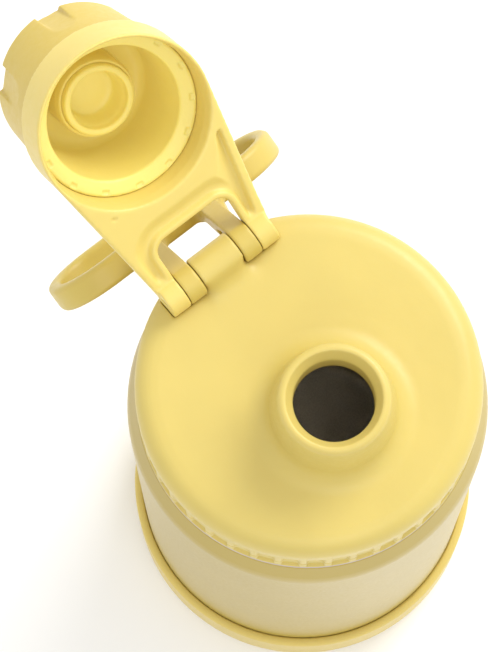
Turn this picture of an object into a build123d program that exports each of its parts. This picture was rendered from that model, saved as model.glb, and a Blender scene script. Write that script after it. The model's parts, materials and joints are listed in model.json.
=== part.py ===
"""Insulated drinking bottle for children: steel vacuum body in a silicone boot, screw lid with a spout,
a flip-over arm that carries a twist cap, and a carry handle on the same hinge pin."""

import math
import os

from build123d import *

os.makedirs("parts", exist_ok=True)

# Bottle body, millimetres. The origin is the centre of the boot's underside.
BODY_R = 36.5
WALL = 0.6
BODY_Z = 2.1
SHOULDER_Z = 126.5
SHELF_R = 34.3
SHELF_Z = 133.0
NECK_R = 30.8
NECK_TOP_Z = 145.2
LINER_R = 32.5
LINER_NECK_R = 30.15
LINER_Z = 8.0
LIP_Z = 145.8
PLATE_R = 33.2
PLATE_Z = 2.6

# Boot
BOOT_R = 38.5
BOOT_TOP_Z = 18.5
BOOT_FLOOR = 2.0

# Lid: skirt, nearly flat top and spout
LID_R = 34.3
LID_Z = 133.8
SKIRT_INSIDE_R = 32.2
DOME_EDGE_R = 29.6
DOME_Z = 152.0
DOME_RISE = 0.3
FLARE_R = 20.5
LID_INSIDE_Z = 147.2
CEILING_R = 27.5
CEILING_Z = 148.8
PANELS = 43
PANEL_WIDTH = 3.6
PANEL_DEPTH = 0.4
PANEL_Z = (134.7, 144.4)
SPOUT_Y = -7.5
SPOUT_BASE_R = 13.0
SPOUT_R = 10.85
SPOUT_Z = 167.5
THROAT_R = 7.95
SPOUT_FILLET = 5.0
GASKET_TOP_Z = LID_INSIDE_Z

# Hinge shared by the lid, the handle and the arm. The axis is parallel to X.
HINGE_Y = 29.65
HINGE_Z = 154.0
BARREL_R = 3.8
KNUCKLE_W = 9.4
EAR_W = 3.9
LEG_W = 4.1
SIDE_GAP = 0.15
PIN_R = 1.5
PIN_BORE_R = 1.52
TURNING_BORE_R = 1.56
BARREL_CLEARANCE = 0.35

# Arm, drawn in its own plane: along X, from the hinge towards the ring, and up from the hinge axis when closed
OPEN_ANGLE = 139.3
RING_DISTANCE = HINGE_Y - SPOUT_Y
ARM_LOW = -1.3
ARM_HIGH = 2.6
RING_HIGH = 7.9
RING_R = 18.1
RING_BORE_R = 16.3
RING_MOUTH_R = 16.9
RING_STEP = 5.6
RIM_R = 17.5
RIM_DEPTH = 2.2
WINDOW_END = 12.0

# Twist cap, heights from the hinge axis when closed
CAP_R = 17.0
CAP_TOP_R = 15.9
CAP_LOW = RING_HIGH + 0.5
CAP_TOP = 27.2
GRIP_TOP_WALL = 1.6
LINER_CUP_R = 16.0
LINER_CUP_WALL = 1.4
CUP_SHOULDER = 13.0
CUP_LOW = 4.4
CUP_MOUTH_R = 13.7
CUP_TOP_R = 12.9
CUP_CEILING = 23.0
BEAD_R = 16.55
PLUG_R = 7.3
PLUG_RECESS_R = 5.9
PLUG_LOW = 13.0
PLUG_FLOOR = 16.2
PLUG_FLOOR_WALL = 1.2
PLUG_SEAL_R = 8.3
PLUG_SEAL_LOW = 14.4
GRIP_NOTCHES = 6
NOTCH_W = 5.1
NOTCH_START = 39.5
NOTCH_FOOT = 11.5
NOTCH_TOP_R = 14.5

# Carry handle, hanging behind the lid
HANG_ANGLE = 70.0
BAR_BACK = 14.15
BAR_DROP = 16.0
HOOP_W = 55.0
HOOP_H = 25.0
HOOP_T = 3.0
BAND_W = 5.6
BAR_R = 2.4
EAR_BEND_Y = 5.6
EAR_BEND_Z = -6.0
YOKE_FLARE = 2.4
YOKE_LENGTH = 12.0
YOKE_T = 3.6
YOKE_CORNER = 2.6

# Derived places
EAR_X = KNUCKLE_W / 2 + SIDE_GAP
LEG_X = EAR_X + EAR_W + SIDE_GAP
HINGE_HALF = LEG_X + LEG_W
OPEN = math.radians(OPEN_ANGLE)
HINGE_POINT = Vector(0, HINGE_Y, HINGE_Z)
ARM_OUT = Vector(0, -math.cos(OPEN), math.sin(OPEN))
ARM_UP = Vector(0, math.sin(OPEN), math.cos(OPEN))
CAP_CENTRE = HINGE_POINT + ARM_OUT * RING_DISTANCE
ARM_PLANE = Plane(origin=HINGE_POINT, x_dir=(-1, 0, 0), z_dir=ARM_UP)
CAP_SECTION = Plane(origin=CAP_CENTRE, x_dir=(-1, 0, 0), z_dir=(0, math.cos(OPEN), -math.sin(OPEN)))
CAP_AXIS = Axis(CAP_CENTRE, ARM_UP)
SPOUT_SECTION = Plane.XZ.offset(-SPOUT_Y)
SPOUT_AXIS = Axis((0, SPOUT_Y, 0), (0, 0, 1))


def hinge_plane(x):
    """Plane across the hinge axis at x: its own x is +Y and its own y is +Z."""
    return Plane(origin=(x, HINGE_Y, HINGE_Z), x_dir=(0, 1, 0), z_dir=(1, 0, 0))


def turned(points, fillets, section=Plane.XZ, axis=Axis.Z, mode=Mode.ADD):
    """Revolves a closed outline of (radius, height) points, each with its own corner radius."""
    with BuildSketch(section) as profile:
        with BuildLine():
            FilletPolyline(*points, radius=fillets, close=True)
        make_face()
    revolve(profile.sketch, axis=axis, mode=mode)


def across_hinge(radius, x_low, x_high, mode=Mode.ADD):
    """A cylinder on the hinge axis from x_low to x_high."""
    with BuildSketch(hinge_plane(x_low)) as section:
        Circle(radius)
    extrude(section.sketch, amount=x_high - x_low, mode=mode)


def finish(part, name):
    """Names a finished piece and writes it."""
    part.label = name
    export_step(part, f"parts/{name}.step")


# Steel body -------------------------------------------------------------------------------------------

with BuildPart() as outer_shell:
    turned(
        [
            (BODY_R - 2.6, BODY_Z),
            (BODY_R, BODY_Z),
            (BODY_R, SHOULDER_Z),
            (SHELF_R + 0.1, SHELF_Z - 0.7),
            (SHELF_R - 0.6, SHELF_Z),
            (NECK_R, SHELF_Z),
            (NECK_R, NECK_TOP_Z),
            (NECK_R - WALL, NECK_TOP_Z),
            (NECK_R - WALL, SHELF_Z - WALL),
            (SHELF_R - 1.0, SHELF_Z - WALL),
            (SHELF_R - 0.5, SHELF_Z - 1.2),
            (BODY_R - WALL, SHOULDER_Z - 0.2),
            (BODY_R - WALL, BODY_Z + WALL),
            (BODY_R - 2.6, BODY_Z + WALL),
        ],
        [0, 2.4, 9.0, 0.5, 0.3, 0.5, 0.15, 0, 0.4, 0.2, 0.4, 8.4, 1.8, 0],
    )

with BuildPart() as base_plate:
    turned(
        [(0, PLATE_Z + 1.4), (0, PLATE_Z + 0.8), (22, PLATE_Z + 0.8), (25, PLATE_Z + 0.15), (PLATE_R, PLATE_Z + 0.15),
         (PLATE_R, PLATE_Z + 0.75), (25.3, PLATE_Z + 0.75), (22.3, PLATE_Z + 1.4)],
        [0, 0, 1.5, 1.5, 0, 0, 1.5, 1.5],
    )
    with BuildSketch(Plane.XY.offset(PLATE_Z)):
        Circle(1.5)
    extrude(amount=2, mode=Mode.SUBTRACT)

with BuildPart() as evacuation_seal:
    turned([(0, PLATE_Z + 0.85), (1.45, PLATE_Z + 0.85), (1.45, PLATE_Z + 1.5), (0, PLATE_Z + 1.5)], [0, 0, 0.2, 0])

with BuildPart() as inner_liner:
    turned(
        [
            (0, LINER_Z),
            (LINER_R, LINER_Z),
            (LINER_R, SHOULDER_Z - 1),
            (LINER_NECK_R, SHELF_Z - 1.6),
            (LINER_NECK_R, NECK_TOP_Z + 0.02),
            (NECK_R, NECK_TOP_Z + 0.02),
            (NECK_R, LIP_Z),
            (LINER_NECK_R - 0.55, LIP_Z),
            (LINER_NECK_R - 0.55, SHELF_Z - 1.4),
            (LINER_R - WALL, SHOULDER_Z - 1.1),
            (LINER_R - WALL, LINER_Z + WALL),
            (0, LINER_Z + WALL),
        ],
        [0, 6.0, 6.0, 2.0, 0, 0, 0.25, 0.25, 2.0, 5.4, 5.4, 0],
    )

with BuildPart() as vacuum_getter:
    turned([(0, LINER_Z - 2.0), (6, LINER_Z - 2.0), (6, LINER_Z), (0, LINER_Z)], [0, 0.4, 0, 0])

with BuildPart() as bumper_boot:
    turned(
        [
            (0, 0),
            (BOOT_R - 0.5, 0),
            (BOOT_R, 3.0),
            (BOOT_R, BOOT_TOP_Z),
            (BODY_R + 0.03, BOOT_TOP_Z),
            (BODY_R + 0.03, BOOT_FLOOR),
            (0, BOOT_FLOOR),
        ],
        [0, 1.3, 6.0, 1.2, 0.5, 2.0, 0],
    )

# Lid --------------------------------------------------------------------------------------------------

with BuildPart() as lid_gasket:
    turned(
        [
            (28.6, LIP_Z + 0.02),
            (30.9, LIP_Z + 0.02),
            (30.9, GASKET_TOP_Z - 0.02),
            (28.6, GASKET_TOP_Z - 0.02),
        ],
        0.3,
    )

with BuildPart() as lid_body:
    turned(
        [
            (0, LID_Z),
            (LID_R, LID_Z),
            (LID_R, DOME_Z - 0.6),
            (DOME_EDGE_R, DOME_Z),
            (0, DOME_Z),
        ],
        [0, 0.25, 4.2, 8.0, 0],
    )
    # Hinge knuckle, its web let into the rear of the lid
    with BuildSketch(hinge_plane(-KNUCKLE_W / 2)):
        Circle(BARREL_R)
        with BuildLine():
            FilletPolyline((-BARREL_R - 3.6, -6), (BARREL_R - 0.1, -6), (BARREL_R - 0.1, 0), (-BARREL_R + 0.1, 0),
                           (-BARREL_R - 3.6, -2.6), radius=[0, 0, 0, 1.4, 0], close=True)
        make_face()
    extrude(amount=KNUCKLE_W)
    # Spout
    turned(
        [
            (0, DOME_Z - 1),
            (FLARE_R + 2.5, DOME_Z - 1),
            (FLARE_R + 2.5, DOME_Z),
            (FLARE_R, DOME_Z),
            (SPOUT_BASE_R, DOME_Z + DOME_RISE),
            (SPOUT_R, SPOUT_Z),
            (0, SPOUT_Z),
        ],
        [0, 0, 0, 25.0, SPOUT_FILLET, 1.3, 0],
        SPOUT_SECTION,
        SPOUT_AXIS,
    )
    # Inside of the skirt, ceiling recess and throat
    turned(
        [
            (0, LID_Z - 1),
            (SKIRT_INSIDE_R, LID_Z - 1),
            (SKIRT_INSIDE_R, LID_INSIDE_Z),
            (CEILING_R + 0.6, LID_INSIDE_Z),
            (CEILING_R, CEILING_Z),
            (0, CEILING_Z),
        ],
        [0, 0, 1.5, 0.2, 0.8, 0],
        mode=Mode.SUBTRACT,
    )
    turned(
        [
            (0, CEILING_Z - 1),
            (THROAT_R + 3.2, CEILING_Z - 1),
            (THROAT_R + 2.2, CEILING_Z + 3.5),
            (THROAT_R, SPOUT_Z - 9),
            (THROAT_R, SPOUT_Z - 2.4),
            (THROAT_R + 1.9, SPOUT_Z + 0.6),
            (0, SPOUT_Z + 0.6),
        ],
        [0, 0, 3.0, 3.0, 1.2, 0, 0],
        SPOUT_SECTION,
        SPOUT_AXIS,
        Mode.SUBTRACT,
    )
    # Room for the ears and legs beside the knuckle, and the bore of the pin
    for x_low in (-HINGE_HALF - SIDE_GAP, KNUCKLE_W / 2):
        across_hinge(BARREL_R + BARREL_CLEARANCE, x_low, x_low + HINGE_HALF + SIDE_GAP - KNUCKLE_W / 2, Mode.SUBTRACT)
    across_hinge(PIN_BORE_R, -KNUCKLE_W, KNUCKLE_W, Mode.SUBTRACT)
    # Shallow panels round the foot of the skirt
    with BuildSketch(Plane.XY.offset(PANEL_Z[0])):
        with PolarLocations(LID_R, PANELS):
            Rectangle(2 * PANEL_DEPTH, PANEL_WIDTH)
    extrude(amount=PANEL_Z[1] - PANEL_Z[0], mode=Mode.SUBTRACT)

with BuildPart() as hinge_pin:
    across_hinge(PIN_R, -HINGE_HALF + 0.3, HINGE_HALF - 0.3)
    chamfer(edges(), 0.25)

# Carry handle -----------------------------------------------------------------------------------------

HANG = math.radians(HANG_ANGLE)
HOOP_DOWN = Vector(0, math.cos(HANG), -math.sin(HANG))
HOOP_NORMAL = Vector(0, math.sin(HANG), math.cos(HANG))
BAR_POINT = HINGE_POINT + Vector(0, BAR_BACK, -BAR_DROP)
HOOP_CENTRE = BAR_POINT + HOOP_DOWN * ((HOOP_H - HOOP_T) / 2)
HOOP_PLANE = Plane(origin=HOOP_CENTRE - HOOP_NORMAL * (BAND_W / 2), x_dir=(1, 0, 0), z_dir=HOOP_NORMAL)
YOKE_PLANE = Plane(origin=BAR_POINT, x_dir=(1, 0, 0), z_dir=(0, -BAR_DROP, -BAR_BACK))

with BuildPart() as carry_handle:
    with BuildSketch(HOOP_PLANE):
        RectangleRounded(HOOP_W, HOOP_H, 11.5)
        RectangleRounded(HOOP_W - 2 * HOOP_T, HOOP_H - 2 * HOOP_T, 8.5, mode=Mode.SUBTRACT)
    extrude(amount=BAND_W)
    fillet(edges(), 1.1)
    for x in (-EAR_X - EAR_W, EAR_X):
        with BuildSketch(hinge_plane(x)):
            Circle(BARREL_R)
            with BuildLine():
                FilletPolyline(
                    (BARREL_R * 0.75, BARREL_R * 0.66),
                    (BAR_BACK + BAR_R * 0.75, -BAR_DROP + BAR_R * 0.66),
                    (BAR_BACK - BAR_R * 0.8, -BAR_DROP - BAR_R * 0.6),
                    (EAR_BEND_Y, EAR_BEND_Z),
                    (EAR_BEND_Y - 1.0, EAR_BEND_Z + 2.9),
                    (BARREL_R / 2 - 0.3, -BARREL_R / 2 - 0.1),
                    radius=[0, 1.2, 1.2, 3.0, 1.0, 0],
                    close=True,
                )
            make_face()
        extrude(amount=EAR_W)
    # Web that widens the ears towards the bar and rounds the corners between them
    with BuildSketch(YOKE_PLANE):
        with BuildLine():
            Polyline((-EAR_X - EAR_W - YOKE_FLARE, 0), (EAR_X + EAR_W + YOKE_FLARE, 0), (EAR_X + EAR_W, YOKE_LENGTH),
                     (-EAR_X - EAR_W, YOKE_LENGTH), close=True)
        make_face()
        with Locations((0, BAR_R + YOKE_LENGTH)):
            RectangleRounded(2 * EAR_X, 2 * YOKE_LENGTH, YOKE_CORNER, mode=Mode.SUBTRACT)
    extrude(amount=YOKE_T / 2, both=True)
    across_hinge(TURNING_BORE_R, -HINGE_HALF, HINGE_HALF, Mode.SUBTRACT)

# Arm that carries the cap -----------------------------------------------------------------------------

with BuildPart() as cap_carrier:
    with BuildSketch(ARM_PLANE.offset(ARM_LOW)):
        with BuildLine():
            Line((-HINGE_HALF, 0), (HINGE_HALF, 0))
            CenterArc((0, RING_DISTANCE), RING_R, 0, 360)
        make_hull()
    extrude(amount=ARM_HIGH - ARM_LOW)
    with BuildSketch(ARM_PLANE.offset(ARM_LOW)):
        with Locations((0, RING_DISTANCE)):
            Circle(RING_R)
    extrude(amount=RING_HIGH - ARM_LOW)
    for x in (-HINGE_HALF, LEG_X):
        across_hinge(BARREL_R, x, x + LEG_W)
    # Window between the legs
    with BuildSketch(ARM_PLANE.offset(-BARREL_R - 1)):
        with BuildLine():
            FilletPolyline((-LEG_X, -8), (LEG_X, -8), (LEG_X, WINDOW_END), (-LEG_X, WINDOW_END),
                           radius=[0, 0, 3.0, 3.0], close=True)
        make_face()
    extrude(amount=12, mode=Mode.SUBTRACT)
    # Seat of the twist cap: a lead-in at the rim, a bore, and a step that holds the cap's bead
    turned(
        [
            (0, ARM_LOW - 1),
            (RIM_R + 0.3, ARM_LOW - 1),
            (RIM_R, ARM_LOW),
            (RING_MOUTH_R, ARM_LOW + RIM_DEPTH),
            (RING_MOUTH_R, RING_STEP),
            (RING_BORE_R, RING_STEP),
            (RING_BORE_R, RING_HIGH + 1),
            (0, RING_HIGH + 1),
        ],
        [0, 0, 0, 1.5, 0, 0, 0, 0],
        CAP_SECTION,
        CAP_AXIS,
        Mode.SUBTRACT,
    )
    across_hinge(TURNING_BORE_R, -HINGE_HALF - 1, HINGE_HALF + 1, Mode.SUBTRACT)

# Twist cap --------------------------------------------------------------------------------------------

with BuildPart() as cap_grip:
    turned(
        [
            (0, CAP_TOP),
            (CAP_TOP_R, CAP_TOP),
            (CAP_R, CAP_LOW),
            (LINER_CUP_R + 0.05, CAP_LOW),
            (LINER_CUP_R + 0.05, CUP_SHOULDER),
            (CUP_TOP_R + LINER_CUP_WALL + 0.05, CUP_CEILING + LINER_CUP_WALL + 0.02),
            (CUP_TOP_R - 1, CUP_CEILING + LINER_CUP_WALL + 0.02),
            (CUP_TOP_R - 1, CAP_TOP - GRIP_TOP_WALL),
            (0, CAP_TOP - GRIP_TOP_WALL),
        ],
        [0, 1.2, 0.4, 0, 0, 0, 0, 0.2, 0],
        CAP_SECTION,
        CAP_AXIS,
    )
    # Flat notches that run out towards the ring
    with BuildPart(mode=Mode.PRIVATE) as notch:
        with BuildSketch(CAP_SECTION):
            with BuildLine():
                Polyline((CAP_R, NOTCH_FOOT), (NOTCH_TOP_R, CAP_TOP + 1), (CAP_R + 2, CAP_TOP + 1),
                         (CAP_R + 2, NOTCH_FOOT), close=True)
            make_face()
        extrude(amount=NOTCH_W / 2, both=True)
    for index in range(GRIP_NOTCHES):
        add(notch.part.rotate(CAP_AXIS, NOTCH_START + index * 360 / GRIP_NOTCHES), mode=Mode.SUBTRACT)

with BuildPart() as cap_liner:
    turned(
        [
            (0, PLUG_FLOOR),
            (PLUG_RECESS_R, PLUG_FLOOR),
            (PLUG_RECESS_R, PLUG_LOW),
            (PLUG_R, PLUG_LOW),
            (PLUG_R, CUP_CEILING),
            (CUP_TOP_R, CUP_CEILING),
            (CUP_MOUTH_R, CUP_LOW + 1),
            (BEAD_R - 0.5, CUP_LOW),
            (BEAD_R, CUP_LOW + 0.2),
            (BEAD_R, CUP_LOW + 0.8),
            (LINER_CUP_R, CUP_LOW + 1),
            (LINER_CUP_R, CUP_SHOULDER),
            (CUP_TOP_R + LINER_CUP_WALL, CUP_CEILING + LINER_CUP_WALL),
            (PLUG_RECESS_R, CUP_CEILING + LINER_CUP_WALL),
            (PLUG_RECESS_R, PLUG_FLOOR + PLUG_FLOOR_WALL),
            (0, PLUG_FLOOR + PLUG_FLOOR_WALL),
        ],
        [0, 2.2, 0.4, 0.5, 0, 2.0, 0.6, 0.2, 0, 0, 0, 0, 0, 0.3, 0.3, 0],
        CAP_SECTION,
        CAP_AXIS,
    )

with BuildPart() as plug_seal:
    turned(
        [
            (PLUG_R + 0.02, PLUG_SEAL_LOW),
            (PLUG_SEAL_R - 0.4, PLUG_SEAL_LOW),
            (PLUG_SEAL_R, PLUG_SEAL_LOW + 1.6),
            (PLUG_SEAL_R, CUP_CEILING - 0.02),
            (PLUG_R + 0.02, CUP_CEILING - 0.02),
        ],
        [0, 0.2, 0.6, 0, 0],
        CAP_SECTION,
        CAP_AXIS,
    )

finish(outer_shell.part, "outer_shell")
finish(base_plate.part, "base_plate")
finish(evacuation_seal.part, "evacuation_seal")
finish(inner_liner.part, "inner_liner")
finish(vacuum_getter.part, "vacuum_getter")
finish(bumper_boot.part, "bumper_boot")
finish(lid_gasket.part, "lid_gasket")
finish(lid_body.part, "lid_body")
finish(hinge_pin.part, "hinge_pin")
finish(carry_handle.part, "carry_handle")
finish(cap_carrier.part, "cap_carrier")
finish(cap_grip.part, "cap_grip")
finish(cap_liner.part, "cap_liner")
finish(plug_seal.part, "plug_seal")
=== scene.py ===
import json
import math

import bpy
import numpy as np
from mathutils import Matrix, Vector


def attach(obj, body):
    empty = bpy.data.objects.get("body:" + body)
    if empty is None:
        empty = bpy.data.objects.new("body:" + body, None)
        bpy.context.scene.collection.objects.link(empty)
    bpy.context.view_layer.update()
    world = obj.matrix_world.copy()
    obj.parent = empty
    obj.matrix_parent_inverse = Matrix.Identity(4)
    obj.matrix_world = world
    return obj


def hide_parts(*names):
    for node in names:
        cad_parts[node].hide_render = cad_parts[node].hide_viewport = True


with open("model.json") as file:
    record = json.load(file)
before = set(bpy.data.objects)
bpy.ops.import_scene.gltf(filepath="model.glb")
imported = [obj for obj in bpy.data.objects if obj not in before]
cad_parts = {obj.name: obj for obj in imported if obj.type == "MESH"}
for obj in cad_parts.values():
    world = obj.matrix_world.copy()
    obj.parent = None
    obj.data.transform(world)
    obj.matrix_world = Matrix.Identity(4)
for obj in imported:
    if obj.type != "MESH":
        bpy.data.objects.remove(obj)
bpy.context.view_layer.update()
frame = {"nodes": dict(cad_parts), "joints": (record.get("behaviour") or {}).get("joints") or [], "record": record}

MM = 0.001

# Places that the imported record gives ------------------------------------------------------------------

JOINTS = {joint["name"]: joint for joint in frame["joints"]}
HINGE = np.array(JOINTS["arm_flip"]["pos_m"])
RING = np.array(JOINTS["cap_turn"]["pos_m"])
ARM_UP = -np.array(JOINTS["cap_turn"]["axis"])
ARM_OUT = (RING - HINGE) / np.linalg.norm(RING - HINGE)
ARM_LENGTH = float(np.linalg.norm(RING - HINGE)) / MM

# Arm underside, in millimetres of the arm's own frame: across, from hinge to ring, and up when closed
LEG_INSIDE = 8.9
HINGE_HALF = 13.0
WINDOW_END = 12.0
WINDOW_CORNER = 3.0
EDGE_SLOPE = 0.148
WINDOW_RIM = 1.9
POCKET_DEPTH = 1.4
POCKET_RIM = 2.3
POCKET_END = 24.5
POCKET_TIP_W = 1.2
POCKET_SPREAD = 5.8
LEG_START = 3.6
GROOVE_DEPTH = 1.1
GROOVE_START = 7.0
GROOVE_REACH = 5.2
MARK_ACROSS = -12.0
MARK_ALONG = 22.3
MARK_R = 0.75
MARK_DEPTH = 0.35

# Cap's liner, in millimetres: heights along the cap's axis above the hinge, and radii from that axis
LIP_LOW = 3.8
LIP_HIGH = 5.8
LIP_R = 16.2
LIP_SPREAD = 0.28
STOPS = 14
STOP_R = 15.75
STOP_HEIGHT = 0.35
RECESS_R = 5.9
RECESS_FLOOR = 15.0
RECESS_DISH = 3.4

# Blend at the foot of the lid's knuckle, in millimetres from the hinge: half widths, then places in front
FOOT_CORE = 4.3
FOOT_HALF = 8.5
FOOT_NEAR = -2.4
FOOT_FAR = -13.0

# Panels round the foot of the lid, in millimetres
PANELS = 43
PANEL_W = 3.6
PANEL_LOW = 134.7
PANEL_HIGH = 144.4
PANEL_BEVEL = 0.25
PANEL_CARVE = 0.35
PANEL_GROOVE = 138.6
GROOVE_CARVE = 0.3
SKIRT_R = 33.2

# Height at which the paint stops, in metres
SHOULDER_PAINT_END = 0.1324

# Camera and stage
CAMERA_AT = Vector((-0.08347, -0.09253, 0.88243))
CAMERA_AZIMUTH = -36.4
CAMERA_ELEVATION = 79.5
CAMERA_ROLL = -1.4
CAMERA_LENS = 209.4
FLOOR_HALF = 8.0
SKY = 0.92
LIGHT_TARGET = Vector((0, 0.01, 0.14))


# Small helpers ----------------------------------------------------------------------------------------

def smooth_step(low, high, x):
    """0 below low, 1 above high, with a soft change between."""
    t = np.clip((x - low) / (high - low), 0, 1)
    return t * t * (3 - 2 * t)


def new_object(name, mesh):
    piece = bpy.data.objects.new(name, mesh)
    bpy.context.scene.collection.objects.link(piece)
    return piece


def points_of(mesh):
    """The vertices of a mesh as an array of points."""
    flat = np.zeros(len(mesh.vertices) * 3, np.float32)
    mesh.vertices.foreach_get("co", flat)
    return flat.reshape(-1, 3).astype(float)


def normals_of(mesh):
    """The vertex normals of a mesh as an array."""
    flat = np.zeros(len(mesh.vertices) * 3, np.float32)
    mesh.vertex_normals.foreach_get("vector", flat)
    return flat.reshape(-1, 3).astype(float)


def set_points(mesh, points):
    mesh.vertices.foreach_set("co", points.astype(np.float32).ravel())
    mesh.update()


def baked(piece):
    """Replaces a piece's mesh by the result of its modifiers."""
    graph = bpy.context.evaluated_depsgraph_get()
    graph.update()
    mesh = bpy.data.meshes.new_from_object(piece.evaluated_get(graph))
    piece.modifiers.clear()
    piece.data = mesh
    for polygon in mesh.polygons:
        polygon.use_smooth = True
    return piece


def moulded(node, voxel, passes):
    """A copy of a CAD node with soft moulded edges: remeshed evenly, then relaxed."""
    piece = new_object(f"{node}_moulded", frame["nodes"][node].data.copy())
    piece.data.materials.clear()
    remesh = piece.modifiers.new("even", "REMESH")
    remesh.mode = "VOXEL"
    remesh.voxel_size = voxel * MM
    relax = piece.modifiers.new("relax", "SMOOTH")
    relax.factor = 0.5
    relax.iterations = passes
    return baked(piece)


def relax_where(piece, weights, passes):
    """Smooths a piece further, as much as each vertex's weight says."""
    group = piece.vertex_groups.new(name="soft")
    for index in np.nonzero(weights > 0.01)[0]:
        group.add([int(index)], float(weights[index]), "REPLACE")
    relax = piece.modifiers.new("relax", "SMOOTH")
    relax.factor = 0.5
    relax.iterations = passes
    relax.vertex_group = "soft"
    return baked(piece)


def stands_for(piece, node, body, material):
    """Puts a moulded piece in the place of its CAD node."""
    piece.data.materials.clear()
    piece.data.materials.append(material)
    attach(piece, body)
    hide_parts(node)


def arm_frame(points):
    """Arm coordinates in millimetres: across, from the hinge towards the ring, and up when closed."""
    offset = (points - HINGE) / MM
    return offset[:, 0], offset @ ARM_OUT, offset @ ARM_UP


# Materials --------------------------------------------------------------------------------------------

class Nodes:
    """Builds one material's node tree around its Principled shader."""

    def __init__(self, name):
        self.material = bpy.data.materials.new(name)
        self.material.use_nodes = True
        self.tree = self.material.node_tree
        self.shader = self.tree.nodes["Principled BSDF"]
        self.place = self.tree.nodes.new("ShaderNodeTexCoord").outputs["Object"]

    def link(self, source, target):
        self.tree.links.new(source, target)

    def noise(self, scale, detail, stretch=None):
        """Noise in object space. The scale is in features per metre."""
        node = self.tree.nodes.new("ShaderNodeTexNoise")
        node.inputs["Scale"].default_value = scale
        node.inputs["Detail"].default_value = detail
        source = self.place
        if stretch:
            mapping = self.tree.nodes.new("ShaderNodeMapping")
            mapping.inputs["Scale"].default_value = stretch
            self.link(source, mapping.inputs["Vector"])
            source = mapping.outputs["Vector"]
        self.link(source, node.inputs["Vector"])
        return node.outputs["Fac"]

    def ranged(self, value, low, high, from_low=0.3, from_high=0.7):
        """A value spread over a new range. Noise seldom leaves the range from 0.3 to 0.7."""
        node = self.tree.nodes.new("ShaderNodeMapRange")
        node.inputs["From Min"].default_value = from_low
        node.inputs["From Max"].default_value = from_high
        node.inputs["To Min"].default_value = low
        node.inputs["To Max"].default_value = high
        self.link(value, node.inputs["Value"])
        return node.outputs["Result"]

    def between(self, factor, colour_a, colour_b):
        node = self.tree.nodes.new("ShaderNodeMix")
        node.data_type = "RGBA"
        node.inputs[6].default_value = (*colour_a, 1)
        node.inputs[7].default_value = (*colour_b, 1)
        self.link(factor, node.inputs["Factor"])
        return node.outputs[2]

    def bump(self, height, distance, under=None):
        node = self.tree.nodes.new("ShaderNodeBump")
        node.inputs["Distance"].default_value = distance
        self.link(height, node.inputs["Height"])
        if under:
            self.link(under, node.inputs["Normal"])
        return node.outputs["Normal"]


def soft_skin(shader, weight):
    """Lets a little light travel under the surface, red the farthest."""
    shader.inputs["Subsurface Weight"].default_value = weight
    shader.inputs["Subsurface Radius"].default_value = (1.0, 0.7, 0.25)
    shader.inputs["Subsurface Scale"].default_value = 0.0015


def moulded_plastic(name, colour, glow=0.10, painted_glow=0.0):
    """Satin polypropylene: fine grain, faint flow marks, light carried under the skin, and an optional painted
    glow that lightens shaded hollows.
    """
    n = Nodes(name)
    cloud = n.ranged(n.noise(45, 3), 0, 1)
    dark = tuple(c * 0.96 for c in colour)
    pale = tuple(min(1, c * 1.04) for c in colour)
    n.link(n.between(cloud, dark, pale), n.shader.inputs["Base Color"])
    n.link(n.ranged(n.noise(900, 3), 0.36, 0.46), n.shader.inputs["Roughness"])
    waves = n.bump(n.noise(260, 2), 0.00006)
    n.link(n.bump(n.noise(5200, 2), 0.000012, under=waves), n.shader.inputs["Normal"])
    soft_skin(n.shader, glow)
    # Painted glow: emission in the plastic's own colour stands in for light reaching shaded hollows
    n.shader.inputs["Emission Color"].default_value = (*colour, 1)
    n.shader.inputs["Emission Strength"].default_value = painted_glow
    n.shader.inputs["IOR"].default_value = 1.49
    return n.material


def powder_coat(name, colour, bare_above):
    """Fine orange-peel powder coat, which stops at a height above which the steel is bare."""
    n = Nodes(name)
    height = n.tree.nodes.new("ShaderNodeSeparateXYZ")
    n.link(n.place, height.inputs["Vector"])
    bare = n.ranged(height.outputs["Z"], 0, 1, bare_above, bare_above + 0.0001)
    cloud = n.ranged(n.noise(60, 3), 0, 1)
    paint = n.between(cloud, tuple(c * 0.96 for c in colour), colour)
    both = n.between(bare, colour, (0.62, 0.55, 0.54))
    n.link(paint, both.node.inputs[6])
    n.link(both, n.shader.inputs["Base Color"])
    n.link(bare, n.shader.inputs["Metallic"])
    n.link(n.ranged(n.noise(1400, 2), 0.28, 0.34), n.shader.inputs["Roughness"])
    peel = n.bump(n.noise(1100, 2), 0.000005)
    n.link(n.bump(n.noise(4200, 3), 0.0000012, under=peel), n.shader.inputs["Normal"])
    n.shader.inputs["IOR"].default_value = 1.45
    return n.material


def silicone(name, colour):
    """Matte moulded silicone with a soft grain."""
    n = Nodes(name)
    cloud = n.ranged(n.noise(70, 4), 0, 1)
    n.link(n.between(cloud, tuple(c * 0.94 for c in colour), colour), n.shader.inputs["Base Color"])
    n.link(n.ranged(n.noise(1600, 3), 0.52, 0.66), n.shader.inputs["Roughness"])
    n.link(n.bump(n.noise(3000, 3), 0.00002), n.shader.inputs["Normal"])
    soft_skin(n.shader, 0.12)
    n.shader.inputs["Sheen Weight"].default_value = 0.15
    return n.material


def steel(name, colour, roughness, stretch):
    """Brushed or dull metal, with its grain drawn out along one direction."""
    n = Nodes(name)
    grain = n.noise(2600, 3, stretch=stretch)
    dull = tuple(c * 0.85 for c in colour)
    n.link(n.between(n.ranged(grain, 0, 1), dull, colour), n.shader.inputs["Base Color"])
    n.link(n.ranged(n.noise(400, 4), *roughness), n.shader.inputs["Roughness"])
    n.link(n.bump(grain, 0.000008), n.shader.inputs["Normal"])
    n.shader.inputs["Metallic"].default_value = 1.0
    return n.material


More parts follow.
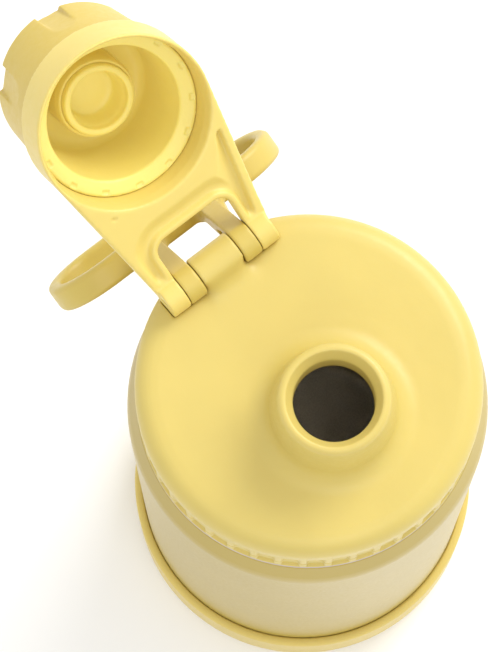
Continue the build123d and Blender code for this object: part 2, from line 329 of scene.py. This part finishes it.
def make_materials():
    """One material for each slot, and a paler, glowing one for the inside of the cap: painted light that lightens
    its shaded hollow.
    """
    return {
        "lid_plastic": moulded_plastic("lid_plastic", (0.635, 0.50, 0.135)),
        "arm_plastic": moulded_plastic("arm_plastic", (0.75, 0.59, 0.16)),
        "cap_plastic": moulded_plastic("cap_plastic", (0.62, 0.45, 0.06)),
        # cap_inside is painted light: paler than cap_plastic and glowing, to stand in for light inside the cap's
        # shaded hollow
        "cap_inside": moulded_plastic("cap_inside", (0.80, 0.675, 0.185), glow=0.25, painted_glow=0.12),
        "handle_plastic": moulded_plastic("handle_plastic", (0.60, 0.46, 0.105)),
        "powder_coat": powder_coat("powder_coat", (0.46, 0.34, 0.06), SHOULDER_PAINT_END),
        "boot_silicone": silicone("boot_silicone", (0.68, 0.52, 0.13)),
        "seal_silicone": silicone("seal_silicone", (0.88, 0.72, 0.20)),
        # Stainless steel, partly painted light: its tone is paler and warmer than bare steel, to lighten the
        # shaded inside of the bottle
        "stainless_steel": steel("stainless_steel", (0.88, 0.82, 0.71), (0.34, 0.48), (1, 1, 0.04)),
        "sealing_resin": silicone("sealing_resin", (0.06, 0.05, 0.04)),
        "getter_metal": steel("getter_metal", (0.35, 0.35, 0.36), (0.5, 0.7), (1, 1, 1)),
        "pin_steel": steel("pin_steel", (0.60, 0.60, 0.60), (0.2, 0.3), (0.04, 1, 1)),
    }


# Pieces -----------------------------------------------------------------------------------------------

def window_distance(across, along):
    """Distance outside the window between the arm's legs, whose far corners are round."""
    x = np.abs(across) - (LEG_INSIDE - WINDOW_CORNER)
    y = along - (WINDOW_END - WINDOW_CORNER)
    return np.hypot(np.maximum(x, 0), np.maximum(y, 0)) - WINDOW_CORNER


def arm_recess(across, along):
    """Depth of the cored-out underside: a groove round the window and a pocket along one edge."""
    window = window_distance(across, along)
    edge = HINGE_HALF + EDGE_SLOPE * along - np.abs(across)
    reach = POCKET_TIP_W + POCKET_SPREAD * (1 - smooth_step(9.0, POCKET_END, along))
    fade = 1 - smooth_step(6.0, 12.0, along) * smooth_step(0.0, 1.0, (edge - POCKET_RIM) / reach)
    near_end = smooth_step(LEG_START, LEG_START + 2.4, along)
    far_end = 1 - smooth_step(POCKET_END - 1.5, POCKET_END, along)
    pocket = POCKET_DEPTH * smooth_step(POCKET_RIM - 0.6, POCKET_RIM, edge) * fade * near_end * far_end
    groove = GROOVE_DEPTH * (1 - smooth_step(2.4, GROOVE_REACH, window)) * smooth_step(1.2, 2.5, edge)
    start = np.where(across > 0, GROOVE_START, LEG_START)
    groove = groove * smooth_step(0.0, 1.0, (along - start) / 2.6)
    rim = smooth_step(1.0, WINDOW_RIM, window)
    return np.maximum(pocket * (across > 0), groove) * rim


def make_arm(materials):
    """The arm, with its underside rounded, cored out and marked by the mould."""
    arm = moulded("cap_carrier", 0.3, 3)
    across, along, up = arm_frame(points_of(arm.data))
    rounded = (1 - smooth_step(-0.6, 0.2, up)) * smooth_step(5.0, 8.0, along)
    relax_where(arm, rounded, 14)
    points = points_of(arm.data)
    across, along, up = arm_frame(points)
    facing = smooth_step(0.5, 0.85, normals_of(arm.data) @ -ARM_UP)
    ring_clear = smooth_step(18.6, 19.6, np.hypot(across, along - ARM_LENGTH))
    underside = facing * (up < 0.4) * ring_clear
    depth = arm_recess(across, along) * underside
    from_mark = np.hypot(across - MARK_ACROSS, along - MARK_ALONG)
    mark = MARK_DEPTH * (1 - smooth_step(MARK_R - 0.3, MARK_R, from_mark)) * underside
    points += ARM_UP * ((depth + mark) * MM)[:, None]
    set_points(arm.data, points)
    stands_for(arm, "cap_carrier", "arm", materials["arm_plastic"])


def make_liner(materials):
    """The cap's liner: its lip almost fills the ring's bore and carries small stops, and its plug is hollow."""
    liner = moulded("cap_liner", 0.24, 4)
    points = points_of(liner.data)
    across, along, up = arm_frame(points)
    along = along - ARM_LENGTH
    radius = np.hypot(across, along)
    lip_height = smooth_step(LIP_LOW, LIP_LOW + 0.4, up) * (1 - smooth_step(LIP_HIGH - 0.8, LIP_HIGH, up))
    lip = smooth_step(LIP_R - 1.2, LIP_R, radius) * lip_height
    outward = (np.outer(across, (1, 0, 0)) + np.outer(along, ARM_OUT)) / np.maximum(radius, 0.01)[:, None]
    points += outward * (LIP_SPREAD * lip * MM)[:, None]
    facing = smooth_step(0.3, 0.6, normals_of(liner.data) @ -ARM_UP)
    step = 2 * math.pi / STOPS
    swing = (np.arctan2(along, across) / step + 0.5) % 1 - 0.5
    stop = 1 - smooth_step(0.6, 0.85, np.abs(swing) * step * radius)
    stop = stop * (1 - smooth_step(0.2, 0.4, np.abs(radius - STOP_R)))
    points += ARM_UP * (STOP_HEIGHT * stop * facing * (up < LIP_HIGH) * MM)[:, None]
    # The floor of the plug's recess is dished
    inside = 1 - smooth_step(RECESS_R - 0.9, RECESS_R, radius)
    inside = inside * smooth_step(RECESS_FLOOR, RECESS_FLOOR + 0.8, up)
    points += ARM_UP * (RECESS_DISH * inside * MM)[:, None]
    set_points(liner.data, points)
    # The liner takes the paler, glowing material: painted light for the cap's shaded inside
    stands_for(liner, "cap_liner", "cap", materials["cap_inside"])


def make_lid(materials):
    """The lid, with its knuckle's foot blended into the dome and a ring of panels carved in the skirt."""
    lid = moulded("lid_body", 0.3, 2)
    x, y, z = (points_of(lid.data) - HINGE).T / MM
    foot = 1 - smooth_step(FOOT_CORE, FOOT_HALF, np.abs(x))
    foot = foot * smooth_step(FOOT_FAR, FOOT_FAR + 3.5, y) * (1 - smooth_step(FOOT_NEAR - 2.2, FOOT_NEAR, y))
    above = smooth_step(-4.5, -3.0, z)
    relax_where(lid, foot * above, 300)
    points = points_of(lid.data)
    x, y, z = points.T / MM
    radius = np.hypot(x, y)
    step = 2 * math.pi / PANELS
    swing = (np.arctan2(y, x) / step + 0.5) % 1 - 0.5
    above_foot = smooth_step(PANEL_LOW - 0.1, PANEL_LOW + 0.15, z)
    panel = 1 - smooth_step(PANEL_W / 2 - PANEL_BEVEL, PANEL_W / 2, np.abs(swing) * step * radius)
    panel = panel * above_foot * (1 - smooth_step(PANEL_HIGH - 1.2, PANEL_HIGH, z))
    groove = 1 - smooth_step(0.15, 0.4, np.abs(z - PANEL_GROOVE))
    skirt = smooth_step(SKIRT_R, SKIRT_R + 0.4, radius) * above_foot * (z < PANEL_HIGH + 0.5)
    depth = (PANEL_CARVE * panel + GROOVE_CARVE * groove) * skirt
    outward = np.stack((x, y, np.zeros_like(z)), 1) / np.maximum(radius, 0.01)[:, None]
    points -= outward * (depth * MM)[:, None]
    set_points(lid.data, points)
    stands_for(lid, "lid_body", "lid", materials["lid_plastic"])


def make_plain_pieces(materials):
    """The pieces whose CAD shape needs only soft edges."""
    for node, body, slot, voxel, passes in (
        ("carry_handle", "handle", "handle_plastic", 0.3, 4),
        ("cap_grip", "cap", "cap_plastic", 0.28, 3),
        ("plug_seal", "cap", "seal_silicone", 0.22, 5),
    ):
        stands_for(moulded(node, voxel, passes), node, body, materials[slot])


def finish_cad_nodes(materials):
    """Gives every CAD node the material of its slot."""
    slots = {part["node"]: part["material_slot"] for part in frame["record"]["subparts"]}
    for node, obj in frame["nodes"].items():
        obj.data.materials.clear()
        obj.data.materials.append(materials[slots[node]])


# Camera, floor and light ------------------------------------------------------------------------------

def make_camera():
    """A long lens that looks down on the open lid from in front."""
    azimuth, elevation, roll = (math.radians(d) for d in (CAMERA_AZIMUTH, CAMERA_ELEVATION, CAMERA_ROLL))
    back = Vector(
        (
            math.sin(azimuth) * math.cos(elevation),
            -math.cos(azimuth) * math.cos(elevation),
            math.sin(elevation),
        )
    )
    right = Vector((math.cos(azimuth), math.sin(azimuth), 0))
    up = back.cross(right)
    rolled_right = right * math.cos(roll) + up * math.sin(roll)
    rolled_up = up * math.cos(roll) - right * math.sin(roll)
    data = bpy.data.cameras.new("camera")
    data.lens = CAMERA_LENS
    data.sensor_width = 36.0
    camera = new_object("camera", data)
    turn = Matrix((rolled_right, rolled_up, back)).transposed().to_4x4()
    camera.matrix_world = Matrix.Translation(CAMERA_AT) @ turn
    bpy.context.scene.camera = camera


def make_light(name, place, size, power):
    """A round soft light that faces the lid."""
    data = bpy.data.lights.new(name, "AREA")
    data.shape = "DISK"
    data.size = size
    data.energy = power
    lamp = new_object(name, data)
    lamp.location = place
    lamp.rotation_euler = (LIGHT_TARGET - Vector(place)).to_track_quat("-Z", "Y").to_euler()


def make_stage():
    """A pale floor under a white sky, with two soft lights."""
    mesh = bpy.data.meshes.new("floor")
    s = FLOOR_HALF
    mesh.from_pydata([(-s, -s, 0), (s, -s, 0), (s, s, 0), (-s, s, 0)], [], [(0, 1, 2, 3)])
    floor = new_object("floor", mesh)
    n = Nodes("floor")
    cloud = n.ranged(n.noise(3, 2), 0, 1)
    n.link(n.between(cloud, (0.93, 0.93, 0.93), (0.95, 0.95, 0.95)), n.shader.inputs["Base Color"])
    n.shader.inputs["Roughness"].default_value = 0.7
    mesh.materials.append(n.material)
    world = bpy.data.worlds.new("world")
    world.use_nodes = True
    world.node_tree.nodes["Background"].inputs["Color"].default_value = (1, 1, 1, 1)
    world.node_tree.nodes["Background"].inputs["Strength"].default_value = SKY
    bpy.context.scene.world = world
    make_light("key", (0.80, 0.20, 0.85), 0.7, 8.5)
    make_light("fill", (-0.25, -0.55, 1.05), 0.8, 2.4)


bpy.context.scene.view_settings.view_transform = "Standard"
make_camera()
make_stage()
all_materials = make_materials()
finish_cad_nodes(all_materials)
make_arm(all_materials)
make_liner(all_materials)
make_lid(all_materials)
make_plain_pieces(all_materials)
